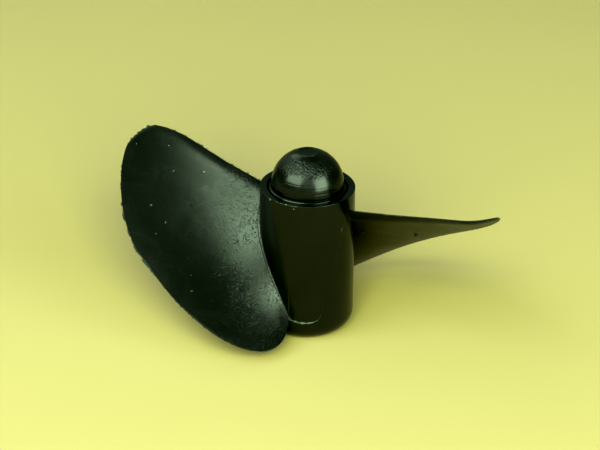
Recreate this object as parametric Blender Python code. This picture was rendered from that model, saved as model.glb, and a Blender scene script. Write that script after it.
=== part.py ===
"""A model boat propeller: a hub and two wide raked blades moulded in one piece, with a domed nose cap.

Metres, +Z up. The hub's axis is Z, and the propeller stands on its hub's rear face at z = 0.
One blade reaches towards -X and the other, the same blade turned half round, towards +X.
"""

import math

import bmesh
import bpy
import numpy as np

MM = 0.001

# Hub
HUB_RADIUS = 7.0 * MM
HUB_REAR_RADIUS = 7.1 * MM
HUB_LENGTH = 22.5 * MM
HUB_REAR_ROUND = 2.6 * MM
HUB_RIM_ROUND = 0.25 * MM
SHAFT_BORE_RADIUS = 2.5 * MM
BORE_CHAMFER = 0.4 * MM
CAP_SOCKET_RADIUS = 6.1 * MM
CAP_SOCKET_DEPTH = 3.5 * MM
SOCKET_LIP = 0.1 * MM

# Nose cap
CAP_RADIUS = 5.4 * MM
CAP_FLANGE_RADIUS = 5.75 * MM
CAP_FLANGE_ROUND = 0.3 * MM
CAP_DOME_CENTRE = 22.8 * MM
CAP_FLAT_RADIUS = 1.6 * MM
CAP_FOOT_CHAMFER = 0.3 * MM
SEAT_GAP = 0.3 * MM

# Blade outline in plan: each station is a radius in millimetres, then the angle in degrees of the
# upper edge and of the lower edge, from +X towards +Y. At the last station, the tip, the two meet.
BLADE_PLAN = [
    (7.0, 145.6, 249.3),
    (10.5, 145.4, 251.7),
    (13.3, 145.4, 248.0),
    (14.8, 145.4, 243.9),
    (16.1, 145.2, 239.2),
    (18.4, 145.0, 229.0),
    (20.9, 144.7, 214.1),
    (23.4, 144.6, 198.4),
    (25.2, 145.0, 189.8),
    (26.8, 145.6, 180.6),
    (28.0, 146.9, 171.4),
    (28.8, 150.1, 164.5),
    (29.2, 153.9, 160.3),
    (29.35, 157.2, 157.2),
]

# Heights in millimetres of the blade's middle surface: a row for each radius, a column for each angle.
HEIGHT_RADII = (7.0, 14.5, 22.0, 29.5)
HEIGHT_ANGLES = (145.0, 180.0, 215.0, 250.0)
BLADE_HEIGHTS = [
    (20.5, 16.4, 11.1, 3.2),
    (22.1, 14.7, 7.9, 0.8),
    (23.7, 15.6, 7.2, -5.0),
    (25.1, 16.9, 0.9, -17.3),
]

# Blade thickness
BLADE_INNER_RADIUS = 6.3 * MM
BLADE_ROOT_THICKNESS = 1.3 * MM
BLADE_TIP_THICKNESS = 0.55 * MM
LOWER_EDGE_THINNING = 0.5
ROOT_FILLET = 0.3 * MM

# How far the rounding of the upper and of the lower edge reaches in, in thicknesses, and how full it is.
UPPER_EDGE_REACH = 1.7
LOWER_EDGE_REACH = 0.35
EDGE_FULLNESS = 0.85

# Fineness of the meshes
TURNED_STEPS = 60
ARC_STEPS = 6
DOME_STEPS = 10
SPAN_STEPS = 20
CHORD_STEPS = 18
SHARP_ANGLE = math.radians(32)


def clear_scene():
    for obj in list(bpy.data.objects):
        bpy.data.objects.remove(obj)


def plastic(name, colour, roughness):
    """A Principled plastic, with its colour in linear values."""
    material = bpy.data.materials.new(name)
    material.use_nodes = True
    shader = material.node_tree.nodes["Principled BSDF"]
    shader.inputs["Base Color"].default_value = (*colour, 1.0)
    shader.inputs["Roughness"].default_value = roughness
    shader.inputs["Metallic"].default_value = 0.0
    return material


def add_object(name, bm, material):
    """A finished bmesh as a smooth-shaded object."""
    mesh = bpy.data.meshes.new(name)
    bm.to_mesh(mesh)
    bm.free()
    mesh.shade_smooth()
    mesh.set_sharp_from_angle(angle=SHARP_ANGLE)
    mesh.materials.append(material)
    obj = bpy.data.objects.new(name, mesh)
    bpy.context.scene.collection.objects.link(obj)
    return obj


def arc(centre, radius, start, end, steps):
    """Points (radius, height) of an arc, with its angles in degrees from the outward direction."""
    angles = [math.radians(start + (end - start) * i / steps) for i in range(steps + 1)]
    return [(centre[0] + radius * math.cos(a), centre[1] + radius * math.sin(a)) for a in angles]


def turned(profile, closed):
    """A body turned round Z from its profile of (radius, height) points."""
    bm = bmesh.new()
    points = [bm.verts.new((radius, 0.0, height)) for radius, height in profile]
    pairs = list(zip(points, points[1:]))
    if closed:
        pairs.append((points[-1], points[0]))
    edges = [bm.edges.new(pair) for pair in pairs]
    bmesh.ops.spin(
        bm,
        geom=points + edges,
        axis=(0, 0, 1),
        cent=(0, 0, 0),
        steps=TURNED_STEPS,
        angle=math.tau,
        use_merge=True,
    )
    bmesh.ops.remove_doubles(bm, verts=bm.verts, dist=0.001 * MM)
    bmesh.ops.recalc_face_normals(bm, faces=bm.faces)
    return bm


def hub_profile():
    """The hub's wall: rear face, outer side, front rim, cap socket and shaft bore."""
    rear = HUB_REAR_RADIUS - HUB_REAR_ROUND
    rim = HUB_RADIUS - HUB_RIM_ROUND
    floor = HUB_LENGTH - CAP_SOCKET_DEPTH
    return [
        (SHAFT_BORE_RADIUS + BORE_CHAMFER, 0.0),
        *arc((rear, HUB_REAR_ROUND), HUB_REAR_ROUND, -90, 0, ARC_STEPS),
        *arc((rim, HUB_LENGTH - HUB_RIM_ROUND), HUB_RIM_ROUND, 0, 90, 3),
        (CAP_SOCKET_RADIUS + SOCKET_LIP, HUB_LENGTH),
        (CAP_SOCKET_RADIUS, HUB_LENGTH - SOCKET_LIP),
        (CAP_SOCKET_RADIUS, floor),
        (SHAFT_BORE_RADIUS, floor),
        (SHAFT_BORE_RADIUS, BORE_CHAMFER),
    ]


def cap_profile():
    """The cap from its foot in the socket, up its flange and its dome to the flat on top."""
    foot = HUB_LENGTH - CAP_SOCKET_DEPTH + SEAT_GAP
    flange = (CAP_FLANGE_RADIUS - CAP_FLANGE_ROUND, HUB_LENGTH - CAP_FLANGE_ROUND)
    flat_angle = math.degrees(math.acos(CAP_FLAT_RADIUS / CAP_RADIUS))
    dome = arc((0.0, CAP_DOME_CENTRE), CAP_RADIUS, 0, flat_angle, DOME_STEPS)
    return [
        (0.0, foot),
        (CAP_FLANGE_RADIUS - CAP_FOOT_CHAMFER, foot),
        (CAP_FLANGE_RADIUS, foot + CAP_FOOT_CHAMFER),
        *arc(flange, CAP_FLANGE_ROUND, 0, 90, 4),
        (CAP_RADIUS, HUB_LENGTH),
        *dome,
        (0.0, dome[-1][1]),
    ]


def smooth_curve(x, knots, values):
    """A smooth curve through the given values: cubic pieces whose slopes match at the knots."""
    knots = np.asarray(knots, float)
    values = np.asarray(values, float)
    slopes = np.gradient(values, knots)
    k = np.clip(np.searchsorted(knots, x) - 1, 0, len(knots) - 2)
    width = knots[k + 1] - knots[k]
    t = np.clip((x - knots[k]) / width, 0.0, 1.0)
    return (
        (1 + 2 * t) * (1 - t) ** 2 * values[k]
        + t * (1 - t) ** 2 * width * slopes[k]
        + t**2 * (3 - 2 * t) * values[k + 1]
        - t**2 * (1 - t) * width * slopes[k + 1]
    )


def cubic_weights(x, knots):
    """The weights of four knots' values in the cubic through them, at each x."""
    weights = []
    for knot in knots:
        others = [other for other in knots if other != knot]
        weights.append(np.prod([(x - other) / (knot - other) for other in others], axis=0))
    return np.stack(weights, axis=-1)


def blade_height(radius, angle):
    """Height of the blade's middle surface, from a radius in metres and an angle in degrees."""
    across = cubic_weights(radius / MM, HEIGHT_RADII)
    around = cubic_weights(angle, HEIGHT_ANGLES)
    return MM * np.einsum("...i,...j,ij->...", across, around, np.array(BLADE_HEIGHTS))


def tip_radius():
    return BLADE_PLAN[-1][0] * MM


def span_angle(radius):
    """Spreads radii so that a rounded tip has evenly spaced stations."""
    return np.arcsin(np.clip((radius - HUB_RADIUS) / (tip_radius() - HUB_RADIUS), 0.0, 1.0))


def span_radii():
    """Radii of the blade's rows: close together in the root fillet, then out to the tip."""
    fillet = HUB_RADIUS + ROOT_FILLET * np.array([0.0, 0.15, 0.45, 1.0])
    steps = np.linspace(float(span_angle(fillet[-1])), math.pi / 2, SPAN_STEPS)[1:]
    outer = HUB_RADIUS + (tip_radius() - HUB_RADIUS) * np.sin(steps)
    return np.concatenate([[BLADE_INNER_RADIUS], fillet, outer])


def middle_surface(radii, chord):
    """Points midway through the blade's thickness, for each radius and each share of the chord."""
    plan = np.array(BLADE_PLAN)
    knots = span_angle(plan[:, 0] * MM)
    upper, lower = (smooth_curve(span_angle(radii), knots, plan[:, k])[:, None] for k in (1, 2))
    angle = upper + (lower - upper) * chord
    radius = radii[:, None] + 0.0 * angle
    height = blade_height(np.maximum(radius, HUB_RADIUS), angle)
    turn = np.radians(angle)
    return np.stack([radius * np.cos(turn), radius * np.sin(turn), height], axis=-1)


def edge_distance(points):
    """How far each point lies from the blade's outline."""
    outline = np.concatenate([points[:, 0], points[::-1, -1]])
    start, along = outline[:-1], np.diff(outline, axis=0)
    length2 = np.maximum((along**2).sum(-1), 1e-16)
    offset = points[:, :, None] - start
    share = np.clip((offset * along).sum(-1) / length2, 0.0, 1.0)
    return np.linalg.norm(offset - share[..., None] * along, axis=-1).min(-1)


def half_thickness(points, radii, chord):
    """Half the blade's thickness: thinner outwards, rounded at its edges and flared at the hub."""
    out = np.clip((radii - HUB_RADIUS) / (tip_radius() - HUB_RADIUS), 0, 1)[:, None]
    full = BLADE_ROOT_THICKNESS + (BLADE_TIP_THICKNESS - BLADE_ROOT_THICKNESS) * out
    full = full * (1 - LOWER_EDGE_THINNING * chord)
    rise = np.clip(1 - (radii - HUB_RADIUS) / ROOT_FILLET, 0, 1)[:, None]
    flare = ROOT_FILLET * (1 - np.sqrt(1 - rise**2))
    reach = LOWER_EDGE_REACH + (UPPER_EDGE_REACH - LOWER_EDGE_REACH) * (1 - chord) ** 2
    rounding = reach * full + flare
    inward = np.clip(edge_distance(points) / rounding, 0, 1)
    return (full / 2 + flare) * (1 - (1 - inward) ** 2) ** EDGE_FULLNESS


def normals(points):
    """Unit normals of the grid of points, with the tip's taken from the row before it."""
    normal = np.cross(np.gradient(points, axis=0), np.gradient(points, axis=1))
    normal[-1] = normal[-2]
    return normal / np.linalg.norm(normal, axis=-1, keepdims=True)


def blade_bmesh():
    """One blade, with its root end inside the hub's wall."""
    chord = 0.5 - 0.5 * np.cos(np.linspace(0, math.pi, CHORD_STEPS + 1))
    radii = span_radii()
    middle = middle_surface(radii, chord)
    offset = normals(middle) * half_thickness(middle, radii, chord)[..., None]
    bm = bmesh.new()
    tip = bm.verts.new(middle[-1, 0])
    sides = []
    for side in (middle + offset, middle - offset):
        rows = [[bm.verts.new(point) for point in row] for row in side[:-1]]
        sides.append(rows)
    for front_row, back_row in zip(*sides):
        for end in (0, -1):
            bm.verts.remove(back_row[end])
            back_row[end] = front_row[end]
    for rows in sides:
        for near, far in zip(rows, rows[1:]):
            for j in range(CHORD_STEPS):
                bm.faces.new((near[j], near[j + 1], far[j + 1], far[j]))
        for j in range(CHORD_STEPS):
            bm.faces.new((rows[-1][j], rows[-1][j + 1], tip))
    front, back = sides[0][0], sides[1][0]
    for j in range(CHORD_STEPS):
        corners = dict.fromkeys((front[j], front[j + 1], back[j + 1], back[j]))
        bm.faces.new(tuple(corners))
    bmesh.ops.recalc_face_normals(bm, faces=bm.faces)
    return bm


def make_moulding(material):
    """The hub with its two blades, joined into one solid."""
    hub = add_object("propeller_moulding", turned(hub_profile(), closed=True), material)
    blade = add_object("blade_form", blade_bmesh(), material)
    opposite = blade.copy()
    opposite.name = "blade_form_opposite"
    opposite.rotation_euler.z = math.pi
    bpy.context.scene.collection.objects.link(opposite)
    for form in (blade, opposite):
        form.hide_render = True
        form.display_type = "WIRE"
        join = hub.modifiers.new("Join " + form.name, "BOOLEAN")
        join.operation = "UNION"
        join.solver = "EXACT"
        join.object = form
    return hub


def make_nose_cap(material):
    """The separate domed cap that sits in the hub's front socket."""
    return add_object("nose_cap", turned(cap_profile(), closed=False), material)


def main():
    clear_scene()
    make_moulding(plastic("glass-filled nylon, black", (0.012, 0.014, 0.011), 0.45))
    make_nose_cap(plastic("acetal, black", (0.008, 0.009, 0.008), 0.22))


main()
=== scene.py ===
"""The looks of a model boat propeller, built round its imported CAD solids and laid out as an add-on.

Metres, +Z up, in the CAD frame: the hub's axis is Z and its rear face stands on z = 0.
"""

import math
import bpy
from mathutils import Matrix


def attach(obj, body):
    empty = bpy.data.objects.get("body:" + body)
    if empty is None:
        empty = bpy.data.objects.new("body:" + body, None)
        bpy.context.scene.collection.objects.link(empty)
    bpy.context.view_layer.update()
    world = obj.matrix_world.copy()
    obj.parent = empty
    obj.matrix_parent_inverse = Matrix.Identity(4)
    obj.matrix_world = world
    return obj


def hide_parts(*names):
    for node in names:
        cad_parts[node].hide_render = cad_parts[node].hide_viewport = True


bl_info = {
    "name": "Model boat propeller",
    "version": (1, 0, 0),
    "blender": (4, 5, 0),
    "location": "3D View > Sidebar > Propeller",
    "description": "Builds a moulded two-blade propeller, its nose cap, its finishes and a studio",
    "category": "Object",
}

import bmesh
import bpy
import numpy as np
from bpy.props import FloatProperty, FloatVectorProperty, IntProperty, PointerProperty
from mathutils import Matrix, Vector

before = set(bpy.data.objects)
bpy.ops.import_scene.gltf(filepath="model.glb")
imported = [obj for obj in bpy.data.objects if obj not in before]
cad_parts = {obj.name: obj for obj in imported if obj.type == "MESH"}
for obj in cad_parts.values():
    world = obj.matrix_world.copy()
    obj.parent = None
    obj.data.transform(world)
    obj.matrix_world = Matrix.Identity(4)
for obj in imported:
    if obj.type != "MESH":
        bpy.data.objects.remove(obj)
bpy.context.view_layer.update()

MM = 0.001
CM2_IN_M2 = 1e4
SHARP_ANGLE = math.radians(32)
UP = np.array([0.0, 0.0, 1.0])

# Points of a turned body nearer than this are one, places are compared to so many digits of a
# millimetre, and no squared length is taken as smaller than the last, which keeps division safe.
MERGE_DISTANCE = 0.001 * MM
PLACE_DIGITS = 5
LEAST_SQUARE = 1e-16

# How far apart the points that give a face's direction are, in millimetres and in shares of the
# chord.
FACE_STEP = 0.2
FACE_CHORD_STEP = 0.01

# Fineness of the meshes
SPAN_STEPS = 74
CHORD_STEPS = 64
OUTLINE_STEPS = 120
HUB_STEPS = 192
REAR_ARC_STEPS = 18
RIM_ARC_STEPS = 6
LIP_ARC_STEPS = 4
CAP_STEPS = 160
DOME_ARC_STEPS = 150
FLANGE_ARC_STEPS = 10
RIDGE_STEPS = 240

# Blade outline in plan: a radius in millimetres, then the angle in degrees of the upper edge and of
# the lower edge, from +X towards +Y. At the last station, the tip, the two meet.
BLADE_PLAN = np.array(
    [
        (7.0, 145.6, 249.3),
        (10.5, 145.4, 251.7),
        (13.3, 145.4, 248.0),
        (14.8, 145.4, 243.9),
        (16.1, 145.2, 239.2),
        (18.4, 145.0, 229.0),
        (20.9, 144.7, 214.1),
        (23.4, 144.6, 198.4),
        (25.2, 145.0, 189.8),
        (26.8, 145.6, 180.6),
        (28.0, 146.9, 171.4),
        (28.8, 150.1, 164.5),
        (29.2, 153.9, 160.3),
        (29.35, 157.2, 157.2),
    ]
)

# Heights in millimetres of the blade's middle surface: a row for each radius, a column for each
# angle.
HEIGHT_RADII = (7.0, 14.5, 22.0, 29.5)
HEIGHT_ANGLES = (145.0, 180.0, 215.0, 250.0)
BLADE_HEIGHTS = np.array(
    [
        (20.5, 16.4, 11.1, 3.2),
        (22.1, 14.7, 7.9, 0.8),
        (23.7, 15.6, 7.2, -5.0),
        (25.1, 16.9, 0.9, -17.3),
    ]
)

# Rows of the root fillet, as shares of its radius, and how full the rounding of the edges is.
FILLET_ROWS = (0.0, 0.04, 0.12, 0.25, 0.45, 0.7, 1.0)
EDGE_FULLNESS = 0.85

# The mould's parting line on the hub: angle in degrees, height and half-width in millimetres. It
# runs from the lower edge of one blade to the upper edge of the other, and is whitest and widest at
# the start.
PARTING_PATH = np.array(
    [
        (248.0, 4.1, 0.22),
        (251.0, 3.85, 0.24),
        (254.0, 3.65, 0.19),
        (258.4, 3.5, 0.16),
        (263.2, 3.4, 0.2),
        (268.0, 3.36, 0.21),
        (273.9, 3.36, 0.14),
        (279.9, 3.5, 0.1),
        (286.0, 3.9, 0.045),
        (289.6, 4.9, 0.02),
        (291.5, 6.5, 0.018),
        (296.0, 8.6, 0.015),
        (301.0, 10.0, 0.015),
        (306.0, 11.9, 0.02),
        (311.6, 14.9, 0.045),
        (314.7, 16.1, 0.035),
        (316.5, 17.5, 0.055),
        (320.3, 18.8, 0.03),
        (324.9, 20.0, 0.035),
        (327.5, 20.6, 0.05),
    ]
)

# The ridge on that line, in millimetres: its least half-width, the spacing of its sections, how far
# each strays, and the width of a degree on the hub's side.
RIDGE_LEAST = 0.015
RIDGE_SPACING = 0.12
RIDGE_STRAY = 0.12
MM_PER_DEGREE = 0.12

# Burrs along a blade's edge, whose sizes are shares of the longest burr. They swell and shrink
# along the edge, and are larger towards the lower root and on a stretch of the lower edge between
# two radii in millimetres. A large one is never left out.
BURR_SPACING = 0.22
BURR_SIZE = 0.6
BURR_SWELL = 0.4
BURR_WAVES = 90.0
ROOT_STARTS = 0.93
ROOT_EXTRA = 0.3
RAGGED_RADII = (23.5, 27.5)
RAGGED_GROWTH = 1.5
LARGE_BURR = 1.3

# Radius in millimetres at which each blade's upper edge has a torn nib, and the nib's size.
NIB_RADIUS = 28.4
NIB_SIZE = 1.6

# Burrs on the front rim: their first and last angle and their spacing in degrees, their size, how
# far they stand in from the rim's corner and below it in millimetres, and their upward tilt.
RIM_ANGLES = (214.0, 262.0, 1.5)
RIM_BURR_SIZE = 0.8
RIM_INSET = 0.04
RIM_BELOW = 0.1
RIM_TILT = 0.35

# Crumbs stuck to a blade's face: radius in millimetres, angle in degrees, length and width in
# millimetres, and the turn of the length from the radius in degrees.
CRUMBS = [
    (23.99, 150.7, 0.24, 0.2, 0.0),
    (21.6, 158.2, 0.42, 0.14, 60.0),
    (23.31, 173.5, 0.40, 0.18, 40.0),
    (17.16, 153.8, 0.36, 0.06, 30.0),
    (20.91, 178.9, 0.55, 0.13, 75.0),
    (22.3, 184.0, 0.2, 0.14, 20.0),
    (18.87, 208.0, 0.5, 0.1, 10.0),
    (28.3, 156.0, 0.2, 0.12, 80.0),
]

# Flecks on the hub's side, as angle in degrees, then distance below the front rim, length and width
# in millimetres.
HUB_FLECKS = [
    (219.6, 0.15, 0.5, 0.16),
    (244.0, 0.03, 0.16, 0.34),
    (254.0, 0.5, 0.14, 0.22),
    (316.3, 4.7, 0.9, 0.1),
]

# Thickness of crumbs and flecks, as a share of the smaller of their length and width.
CRUMB_THICKNESS = 0.7

# Small sink holes in the upper face of the left blade, as radius in millimetres, angle in degrees
# and size in millimetres, and how far the middles of the balls that cut them stand out, in radii.
PITS = [(20.55, 196.6, 0.22), (18.12, 201.3, 0.26)]
PIT_OUT = 0.1

# Small raised pips on the lower face of the right blade, given in the same way, with half a turn
# taken off their angles.
PIPS = [(8.47, 182.1, 0.2), (16.18, 172.9, 0.24)]
PIP_OUT = 0.3

# Fine turned rings on the cap's dome, as their height and depth in millimetres, and their width.
CAP_RINGS = [(23.5, 0.02), (24.3, 0.008), (24.8, 0.008), (25.4, 0.006)]
CAP_RING_WIDTH = 0.07

# The gate mark from its raised edge to its middle: share of its radius, rise in millimetres, and
# share of the dish's depth.
GATE_SECTION = [
    (0.985, 0.035, 0.0),
    (0.95, 0.045, 0.0),
    (0.9, 0.03, 0.0),
    (0.8, 0.0, 0.6),
    (0.5, 0.0, 0.9),
    (0.2, 0.0, 1.0),
    (0.0, 0.0, 1.0),
]

# Settings of nodes: a smooth change over a range, and colours and vectors as values
SMOOTH = {"interpolation_type": "SMOOTHSTEP"}
COLOUR = {"data_type": "RGBA"}
VECTOR = {"data_type": "FLOAT_VECTOR"}

# Cloudy patches, from the melt's flow into the mould
CLOUDY = {"Detail": 4.0, "Roughness": 0.6, "Distortion": 0.6}

# The studio's softboxes: azimuth from the camera's side, positive to the right, and elevation in
# degrees, then width and height in metres. Each has its power in the studio's settings. They stand
# at one distance, and face a point above the floor.
SOFTBOXES = {
    "left_softbox": (-49.0, 41.0, 0.78, 0.72),
    "right_softbox": (46.0, 20.0, 0.62, 0.58),
    "upper_softbox": (-60.0, 74.0, 0.6, 0.6),
    "back_wall": (180.0, 27.0, 1.2, 0.8),
    "middle_softbox": (3.0, 27.0, 0.45, 0.5),
    "rear_softbox": (-132.0, 42.0, 0.6, 0.5),
    "fill": (0.0, 30.0, 0.5, 0.5),
}
SOFTBOX_DISTANCE = 0.8
AIM_HEIGHT = 0.015

# The floor's half-width in metres, and the gap under the object in millimetres
FLOOR_REACH = 3.0
FLOOR_GAP = 0.02

# The camera: place in metres, turns in radians, lens and sensor in millimetres, and what it sees
# between, in metres.
CAMERA_PLACE = (0.0, -0.340651, 0.192411)
CAMERA_PITCH = 0.4778995
CAMERA_YAW = -0.0029782
CAMERA_ROLL = 0.0156112
CAMERA_LENS = 156.0
CAMERA_SENSOR = 36.0
CAMERA_CLIP = (0.02, 20.0)


def linear(hex_colour):
    """An sRGB hex colour as linear values."""
    values = [int(hex_colour[i : i + 2], 16) / 255 for i in (1, 3, 5)]
    return tuple(v / 12.92 if v <= 0.04045 else ((v + 0.055) / 1.055) ** 2.4 for v in values)


def per(millimetres):
    """The texture scale at which a pattern repeats about every so many millimetres."""
    return 1.0 / (millimetres * MM)


def number(name, description, default, **more):
    return FloatProperty(name=name, description=description, default=default, **more)


def length(name, description, millimetres):
    return number(name, description, millimetres * MM, unit="LENGTH")


def portion(name, description, default, most):
    return number(name, description, default, subtype="FACTOR", min=0.0, max=most)


def power(name, description, watts):
    return number(name, description, watts, unit="POWER")


def colour(name, description, hex_colour):
    return FloatVectorProperty(
        name=name,
        description=description,
        subtype="COLOR",
        size=3,
        min=0.0,
        max=1.0,
        default=linear(hex_colour),
    )


class PropellerHub(bpy.types.PropertyGroup):
    front_radius: length("Front radius", "Radius of the hub at its front rim", 7.0)
    rear_radius: length("Rear radius", "Radius of the hub above its rear rounding", 7.1)
    height: length("Length", "Length of the hub along the shaft", 22.5)
    rear_round: length("Rear rounding", "Radius of the rounding round the rear face", 2.6)
    rim_round: length("Rim rounding", "Radius of the outer edge of the front rim", 0.07)
    bore_radius: length("Bore radius", "Radius of the shaft bore", 2.5)
    bore_chamfer: length("Bore chamfer", "Chamfer at the bore's mouth", 0.4)
    socket_radius: length("Socket radius", "Radius of the socket that the cap sits in", 5.95)
    socket_depth: length("Socket depth", "Depth of the socket", 3.5)
    lip: length("Lip", "Worn rounding on the socket's mouth", 0.1)


class PropellerBlades(bpy.types.PropertyGroup):
    count: IntProperty(name="Blades", description="Blades round the hub", default=2, min=1, max=6)
    inner_radius: length("Inner radius", "Radius at which a blade ends inside the hub", 6.3)
    root_thickness: length("Root thickness", "Thickness of a blade at its root", 1.3)
    tip_thickness: length("Tip thickness", "Thickness of a blade at its tip", 0.55)
    root_fillet: length("Root fillet", "Radius of the fillet where a blade meets the hub", 0.12)
    thinning: portion("Lower edge thinning", "Share of thickness lost at the edge", 0.5, 0.9)
    upper_round: number(
        "Upper edge rounding",
        "How far the rounding of the upper edge reaches, in thicknesses",
        1.7,
        min=0.1,
    )
    lower_round: number(
        "Lower edge rounding",
        "How far the rounding of the lower edge reaches, in thicknesses",
        0.1,
        min=0.05,
    )


class PropellerCap(bpy.types.PropertyGroup):
    radius: length("Radius", "Radius of the cap's dome", 5.4)
    dome_centre: length("Dome centre", "Height of the dome's centre above the rear face", 22.8)
    flange_radius: length("Flange radius", "Radius of the flange under the dome", 5.75)
    flange_round: length("Flange rounding", "Rounding of the flange's upper edge", 0.3)
    gate_radius: length("Gate radius", "Radius of the flat mark that the gate left on top", 1.6)
    gate_depth: length("Gate depth", "How far the gate mark is dished", 0.06)
    gap: length("Gap", "Gap under the cap's foot", 0.3)
    foot_chamfer: length("Foot chamfer", "Chamfer round the cap's foot", 0.3)


class PropellerFlash(bpy.types.PropertyGroup):
    ridge_height: number("Ridge size", "Scales the parting line's ridge", 1.0, min=0.0)
    burr_length: length("Burr length", "Length of the longest burrs on the edges", 0.4)
    burr_share: portion("Burr share", "Share of the places on the edges with a burr", 0.3, 1.0)
    speck_size: length("Speck size", "Size of the loose specks on the moulding", 0.13)
    speck_density: number("Speck density", "Specks on a square centimetre", 0.2, min=0.0)
    seed: IntProperty(name="Seed", description="Seed of every scattered burr and speck", default=7)


class PropellerFinish(bpy.types.PropertyGroup):
    nylon: colour("Nylon", "Colour of the hub and blades", "#1f211f")
    polished: colour("Polished nylon", "Colour of the hub's sides and rim", "#131713")
    nylon_pale: colour("Rubbed nylon", "Colour where the nylon's skin is scuffed", "#242623")
    acetal: colour("Acetal", "Colour of the nose cap", "#1d1f1d")
    flash: colour("Flash", "Colour of whitened flash and torn edges", "#596158")
    dust: colour("Dust", "Colour of loose specks", "#a3aba0")


class PropellerStudio(bpy.types.PropertyGroup):
    floor: colour("Floor", "Colour of the plain pale floor", "#7d716b")
    tint: colour("Daylight", "Tint of the light from the softboxes and the room", "#e6fee1")
    bounce: colour("Bounce", "Tint of the fill light, as thrown back by the floor", "#e2fa8c")
    world: number("Room", "Strength of the light from the room", 0.2)
    left_power: power("Left softbox", "Power of the softbox on the left", 17.0)
    right_power: power("Right softbox", "Power of the softbox on the right", 13.5)
    middle_power: power("Middle softbox", "Power of the dim softbox in front", 1.6)
    rear_power: power("Rear softbox", "Power of the softbox behind the object", 2.5)
    upper_power: power("Upper softbox", "Power of the dim softbox overhead", 0.9)
    back_power: power("Back wall", "Power of the dim wall behind", 0.8)
    fill_power: power("Fill", "Power of the fill light beside the camera", 42.0)
    contrast: number("Contrast", "Power that the picture's values are raised to", 1.5)
    black_level: number("Black level", "Light that the picture shows as black", 0.035)


def add(tree, kind, inputs=(), **settings):
    """Adds a node with its settings, and with its inputs by name or in their order.

    An input is a value, a socket to link from, or a node, which stands for its first output. In
    order, a Map Range's inputs are the value, the range that it comes from and where that goes.
    """
    node = tree.nodes.new(kind)
    for name, value in settings.items():
        setattr(node, name, value)
    for name, value in inputs.items() if isinstance(inputs, dict) else enumerate(inputs):
        if isinstance(value, bpy.types.Node):
            value = value.outputs[0]
        socket = node.inputs[name]
        if isinstance(value, bpy.types.NodeSocket):
            tree.links.new(value, socket)
        else:
            socket.default_value = (*value, 1.0) if socket.type == "RGBA" else value
    return node


def new_material(name, values):
    """A material with its shader's plain values: it, its tree, its shader and its coordinates."""
    material = bpy.data.materials.new(name)
    material.use_nodes = True
    tree = material.node_tree
    shader = tree.nodes["Principled BSDF"]
    for socket, value in values.items():
        shader.inputs[socket].default_value = value
    place = add(tree, "ShaderNodeTexCoord").outputs["Object"]
    return material, tree, shader, place


def dress(tree, shader, links, layers=()):
    """Links a shader's inputs to sockets, then lays bumps over one another, the first undermost.

    Each layer is a strength, a depth in millimetres and the node or socket of its heights.
    """
    normal = {}
    for strength, depth, height in layers:
        values = {"Strength": strength, "Distance": depth * MM, "Height": height}
        normal = {"Normal": add(tree, "ShaderNodeBump", {**values, **normal}).outputs["Normal"]}
    for name, socket in {**links, **normal}.items():
        tree.links.new(socket, shader.inputs[name])


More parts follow.
